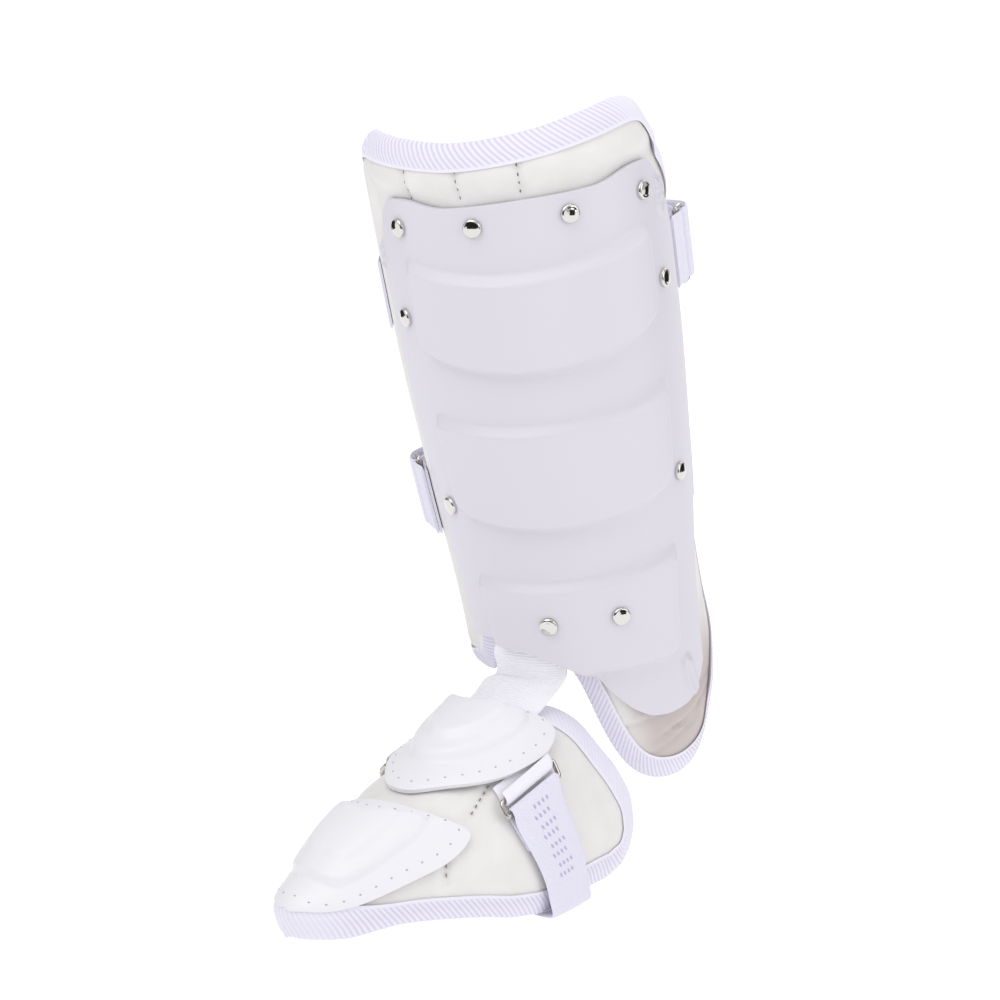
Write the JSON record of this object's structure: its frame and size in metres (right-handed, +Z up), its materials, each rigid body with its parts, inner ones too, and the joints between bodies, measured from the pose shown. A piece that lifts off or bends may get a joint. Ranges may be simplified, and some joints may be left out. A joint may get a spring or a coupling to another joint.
{
  "type": "batter's leg guard",
  "caption": "Padded shin guard with a moulded ribbed shell, elastic instep web and a padded foot cover with moulded caps and a stirrup strap.",
  "frame": {"origin": "the wearer's leg axis, level with the notch that the shin guard leaves over the instep, where the leg sits in the guard", "axes": "+Z up along the leg, toes towards -Y, inner ankle towards +X"},
  "size_m": [0.1504, 0.2615, 0.4038],
  "materials": {
    "shell_plastic": "moulded white polyethylene, satin",
    "cap_plastic": "moulded white plastic caps, satin, stitched through their rims",
    "pad_leather": "soft off-white synthetic leather over foam, sewn channels",
    "binding_tape": "white ribbed tape rolled over the edges",
    "rivet_chrome": "polished chrome cap rivets",
    "strap_elastic": "woven white elastic with a raised weave",
    "web_elastic": "white ribbed elastic",
    "tab_webbing": "smooth white webbing",
    "ring_nickel": "bent nickel-plated wire"
  },
  "bodies": {
    "root": {"shin_shell": "shell_plastic", "shin_pad": "pad_leather", "shin_binding": "binding_tape", "shell_rivet_01": "rivet_chrome", "shell_rivet_02": "rivet_chrome", "shell_rivet_03": "rivet_chrome", "shell_rivet_04": "rivet_chrome", "shell_rivet_05": "rivet_chrome", "shell_rivet_06": "rivet_chrome", "shell_rivet_07": "rivet_chrome", "shell_rivet_08": "rivet_chrome", "shell_rivet_09": "rivet_chrome", "shell_rivet_10": "rivet_chrome", "calf_strap_upper": "strap_elastic", "calf_strap_lower": "strap_elastic", "strap_tab_upper": "strap_elastic", "strap_tab_lower": "strap_elastic", "strap_ring_upper": "ring_nickel", "strap_ring_lower": "ring_nickel", "ankle_web": "web_elastic", "foot_pad": "pad_leather", "foot_binding": "binding_tape", "instep_cap": "cap_plastic", "toe_cap": "cap_plastic", "ring_tab_medial": "tab_webbing", "ring_tab_lateral": "tab_webbing", "stirrup_ring_medial": "ring_nickel", "stirrup_ring_lateral": "ring_nickel", "stirrup_strap": "strap_elastic"}
  },
  "joints": []
}
